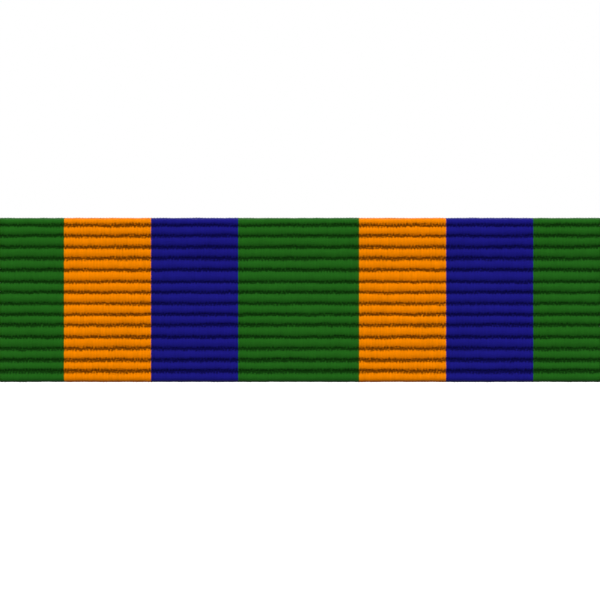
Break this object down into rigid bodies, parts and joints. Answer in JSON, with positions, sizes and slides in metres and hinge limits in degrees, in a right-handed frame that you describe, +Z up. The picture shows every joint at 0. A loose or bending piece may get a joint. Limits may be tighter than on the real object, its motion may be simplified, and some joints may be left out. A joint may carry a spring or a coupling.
{
  "type": "service ribbon bar",
  "caption": "Striped, ribbed service ribbon on a brass carrier that slides on a mounting bar, held to cloth by pointed posts and squeeze clutches.",
  "frame": {"origin": "centre of the mounting bar's back face, which lies on the cloth", "axes": "+X along the ribbon's width, to the viewer's right; +Y from the bar to the wearer, along the posts; +Z up"},
  "size_m": [0.035, 0.0103, 0.0096],
  "materials": {
    "ribbon": "ribbed satin weave, seven stripes of green, orange and blue",
    "film": "clear adhesive film",
    "carrier_brass": "rolled sheet, satin",
    "bar_brass": "stamped sheet, satin",
    "post_nickel": "nickel plated, satin",
    "braze": "silver braze, slightly matt",
    "clutch_gilt": "gilt plated, polished",
    "spring_bronze": "spring bronze, satin"
  },
  "bodies": {
    "mounting": {"mounting_bar": "bar_brass", "left_post": "post_nickel", "right_post": "post_nickel", "left_braze_ring": "braze", "right_braze_ring": "braze"},
    "ribbon_unit": {"ribbon": "ribbon", "adhesive_film": "film", "ribbon_carrier": "carrier_brass"},
    "left_clutch": {"left_clutch_disc": "clutch_gilt"},
    "right_clutch": {"right_clutch_disc": "clutch_gilt"},
    "left_spring": {"left_clutch_washer": "spring_bronze"},
    "right_spring": {"right_clutch_washer": "spring_bronze"},
    "left_outer_wing": {"left_clutch_outer_wing": "clutch_gilt"},
    "left_inner_wing": {"left_clutch_inner_wing": "clutch_gilt"},
    "right_outer_wing": {"right_clutch_outer_wing": "clutch_gilt"},
    "right_inner_wing": {"right_clutch_inner_wing": "clutch_gilt"}
  },
  "joints": [
    {"name": "ribbon_slide", "type": "slide", "parent": "mounting", "child": "ribbon_unit", "axis": [1, 0, 0], "range_m": [-0.036, 0.036]},
    {"name": "left_clutch_pull", "type": "slide", "parent": "mounting", "child": "left_clutch", "axis": [0, 1, 0], "range_m": [-0.0022, 0.009]},
    {"name": "right_clutch_pull", "type": "slide", "parent": "mounting", "child": "right_clutch", "axis": [0, 1, 0], "range_m": [-0.0022, 0.009]},
    {"name": "left_clutch_turn", "type": "hinge", "parent": "left_clutch", "child": "left_spring", "pos_m": [-0.01111, 0.0024, 0], "axis": [0, 1, 0], "continuous": true},
    {"name": "right_clutch_turn", "type": "hinge", "parent": "right_clutch", "child": "right_spring", "pos_m": [0.01111, 0.0024, 0], "axis": [0, 1, 0], "continuous": true},
    {"name": "left_clutch_squeeze", "type": "hinge", "parent": "left_spring", "child": "left_outer_wing", "pos_m": [-0.00881, 0.00295, 0], "axis": [0, 0, -1], "range_deg": [0, 10], "stiffness_Nm_per_rad": 0.05, "springref_deg": -5.73},
    {"name": "left_inner_squeeze", "type": "hinge", "parent": "left_spring", "child": "left_inner_wing", "pos_m": [-0.01341, 0.00295, 0], "axis": [0, 0, 1], "range_deg": [0, 10], "stiffness_Nm_per_rad": 0.05, "springref_deg": -5.73},
    {"name": "right_clutch_squeeze", "type": "hinge", "parent": "right_spring", "child": "right_outer_wing", "pos_m": [0.00881, 0.00295, 0], "axis": [0, 0, 1], "range_deg": [0, 10], "stiffness_Nm_per_rad": 0.05, "springref_deg": -5.73},
    {"name": "right_inner_squeeze", "type": "hinge", "parent": "right_spring", "child": "right_inner_wing", "pos_m": [0.01341, 0.00295, 0], "axis": [0, 0, -1], "range_deg": [0, 10], "stiffness_Nm_per_rad": 0.05, "springref_deg": -5.73}
  ],
  "couplings": [
    {"joint": "left_inner_squeeze", "follows": "left_clutch_squeeze", "ratio": 1},
    {"joint": "right_inner_squeeze", "follows": "right_clutch_squeeze", "ratio": 1}
  ]
}
